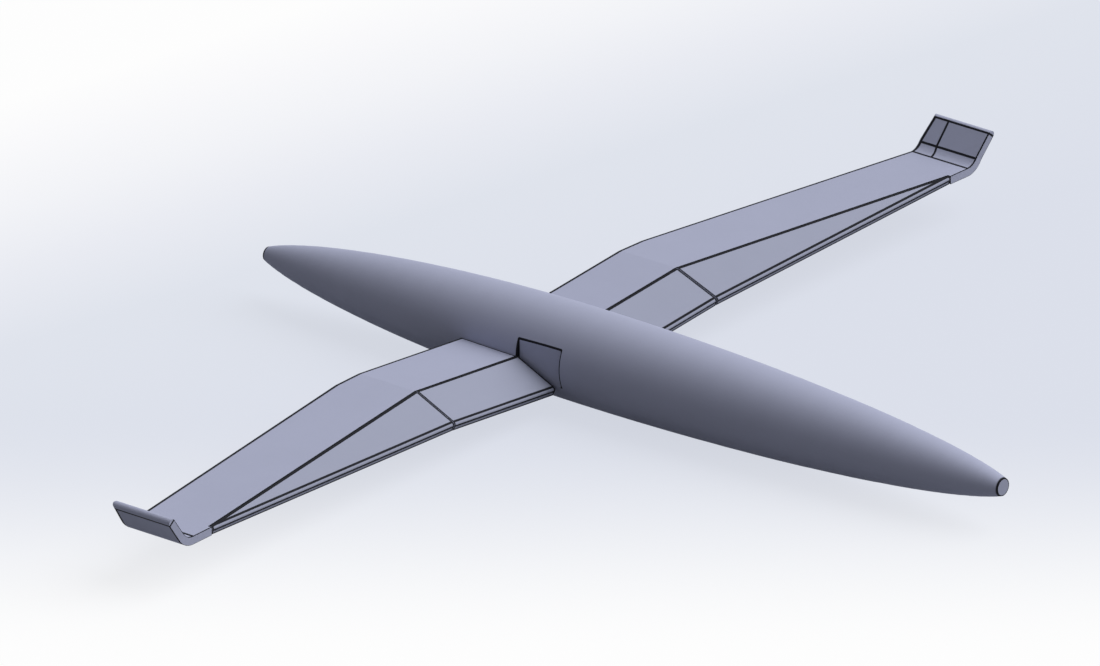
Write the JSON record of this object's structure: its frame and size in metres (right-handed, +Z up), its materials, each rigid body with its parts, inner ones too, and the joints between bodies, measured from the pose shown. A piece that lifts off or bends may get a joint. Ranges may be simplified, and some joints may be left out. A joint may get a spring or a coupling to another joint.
{
  "type": "rc sailplane",
  "caption": "Tailless model glider with a round spindle body, a folded swept wing with upturned tips, and hinged flaps and ailerons driven by servos in the wing.",
  "frame": {"origin": "under the middle of the body's length, at the level of the belly", "axes": "+X to starboard along the span, +Y forward along the body, +Z up"},
  "size_m": [1.49, 1.084, 0.112],
  "materials": {
    "skin": "satin",
    "black_nylon": "matte",
    "carbon": "satin",
    "birch": "bare",
    "steel": "drawn",
    "lead": "cast",
    "battery_wrap": "shrink film"
  },
  "bodies": {
    "airframe": {"fuselage_shell": "skin", "nose_plug": "skin", "tail_plug": "skin", "nose_ballast": "lead", "front_former": "birch", "wing_former": "birch", "rear_former": "birch", "equipment_tray": "birch", "battery_pack": "battery_wrap", "receiver": "black_nylon", "belly_hatch": "skin", "hatch_screws": "steel", "tow_hook_block": "birch", "wing_joiner": "carbon", "left_wing": "skin", "left_winglet": "skin", "left_flap_servo": "black_nylon", "left_flap_servo_cover": "skin", "left_aileron_servo": "black_nylon", "left_aileron_servo_cover": "skin", "right_wing": "skin", "right_winglet": "skin", "right_flap_servo": "black_nylon", "right_flap_servo_cover": "skin", "right_aileron_servo": "black_nylon", "right_aileron_servo_cover": "skin"},
    "left_flap": {"left_flap": "skin", "left_flap_pin": "steel", "left_flap_horn": "black_nylon"},
    "left_flap_arm": {"left_flap_servo_arm": "black_nylon"},
    "left_flap_rod": {"left_flap_pushrod": "steel", "left_flap_clevis": "steel"},
    "left_aileron": {"left_aileron": "skin", "left_aileron_pin": "steel", "left_aileron_horn": "black_nylon"},
    "left_aileron_arm": {"left_aileron_servo_arm": "black_nylon"},
    "left_aileron_rod": {"left_aileron_pushrod": "steel", "left_aileron_clevis": "steel"},
    "right_flap": {"right_flap": "skin", "right_flap_pin": "steel", "right_flap_horn": "black_nylon"},
    "right_flap_arm": {"right_flap_servo_arm": "black_nylon"},
    "right_flap_rod": {"right_flap_pushrod": "steel", "right_flap_clevis": "steel"},
    "right_aileron": {"right_aileron": "skin", "right_aileron_pin": "steel", "right_aileron_horn": "black_nylon"},
    "right_aileron_arm": {"right_aileron_servo_arm": "black_nylon"},
    "right_aileron_rod": {"right_aileron_pushrod": "steel", "right_aileron_clevis": "steel"}
  },
  "joints": [
    {"name": "left_flap_hinge", "type": "hinge", "parent": "airframe", "child": "left_flap", "pos_m": [-0.14945, 0.1245, 0.05961], "axis": [-0.9963, 0, 0.0854], "range_deg": [0, 45]},
    {"name": "left_flap_arm_turn", "type": "hinge", "parent": "airframe", "child": "left_flap_arm", "pos_m": [-0.14945, 0.1605, 0.05961], "axis": [-0.9963, 0, 0.0854], "range_deg": [0, 45]},
    {"name": "left_flap_rod_pivot", "type": "hinge", "parent": "left_flap_arm", "child": "left_flap_rod", "pos_m": [-0.1504, 0.16509, 0.04857], "axis": [-0.9963, 0, 0.0854], "range_deg": [-45, 0]},
    {"name": "left_aileron_hinge", "type": "hinge", "parent": "airframe", "child": "left_aileron", "pos_m": [-0.35464, 0.10925, 0.06451], "axis": [-0.9917, -0.1271, -0.0208], "range_deg": [0, 45]},
    {"name": "left_aileron_arm_turn", "type": "hinge", "parent": "airframe", "child": "left_aileron_arm", "pos_m": [-0.35921, 0.14496, 0.06441], "axis": [-0.9917, -0.1271, -0.0208], "range_deg": [0, 45]},
    {"name": "left_aileron_rod_pivot", "type": "hinge", "parent": "left_aileron_arm", "child": "left_aileron_rod", "pos_m": [-0.35956, 0.14952, 0.05332], "axis": [-0.9917, -0.1271, -0.0208], "range_deg": [-45, 0]},
    {"name": "right_flap_hinge", "type": "hinge", "parent": "airframe", "child": "right_flap", "pos_m": [0.14945, 0.1245, 0.05961], "axis": [-0.9963, 0, -0.0854], "range_deg": [0, 45]},
    {"name": "right_flap_arm_turn", "type": "hinge", "parent": "airframe", "child": "right_flap_arm", "pos_m": [0.14945, 0.1605, 0.05961], "axis": [-0.9963, 0, -0.0854], "range_deg": [0, 45]},
    {"name": "right_flap_rod_pivot", "type": "hinge", "parent": "right_flap_arm", "child": "right_flap_rod", "pos_m": [0.1504, 0.16509, 0.04857], "axis": [-0.9963, 0, -0.0854], "range_deg": [-45, 0]},
    {"name": "right_aileron_hinge", "type": "hinge", "parent": "airframe", "child": "right_aileron", "pos_m": [0.35464, 0.10925, 0.06451], "axis": [-0.9917, 0.1271, 0.0208], "range_deg": [0, 45]},
    {"name": "right_aileron_arm_turn", "type": "hinge", "parent": "airframe", "child": "right_aileron_arm", "pos_m": [0.35921, 0.14496, 0.06441], "axis": [-0.9917, 0.1271, 0.0208], "range_deg": [0, 45]},
    {"name": "right_aileron_rod_pivot", "type": "hinge", "parent": "right_aileron_arm", "child": "right_aileron_rod", "pos_m": [0.35956, 0.14952, 0.05332], "axis": [-0.9917, 0.1271, 0.0208], "range_deg": [-45, 0]}
  ],
  "couplings": [
    {"joint": "left_flap_arm_turn", "follows": "left_flap_hinge", "ratio": 1},
    {"joint": "left_flap_rod_pivot", "follows": "left_flap_hinge", "ratio": -1},
    {"joint": "left_aileron_arm_turn", "follows": "left_aileron_hinge", "ratio": 1},
    {"joint": "left_aileron_rod_pivot", "follows": "left_aileron_hinge", "ratio": -1},
    {"joint": "right_flap_arm_turn", "follows": "right_flap_hinge", "ratio": 1},
    {"joint": "right_flap_rod_pivot", "follows": "right_flap_hinge", "ratio": -1},
    {"joint": "right_aileron_arm_turn", "follows": "right_aileron_hinge", "ratio": 1},
    {"joint": "right_aileron_rod_pivot", "follows": "right_aileron_hinge", "ratio": -1}
  ]
}
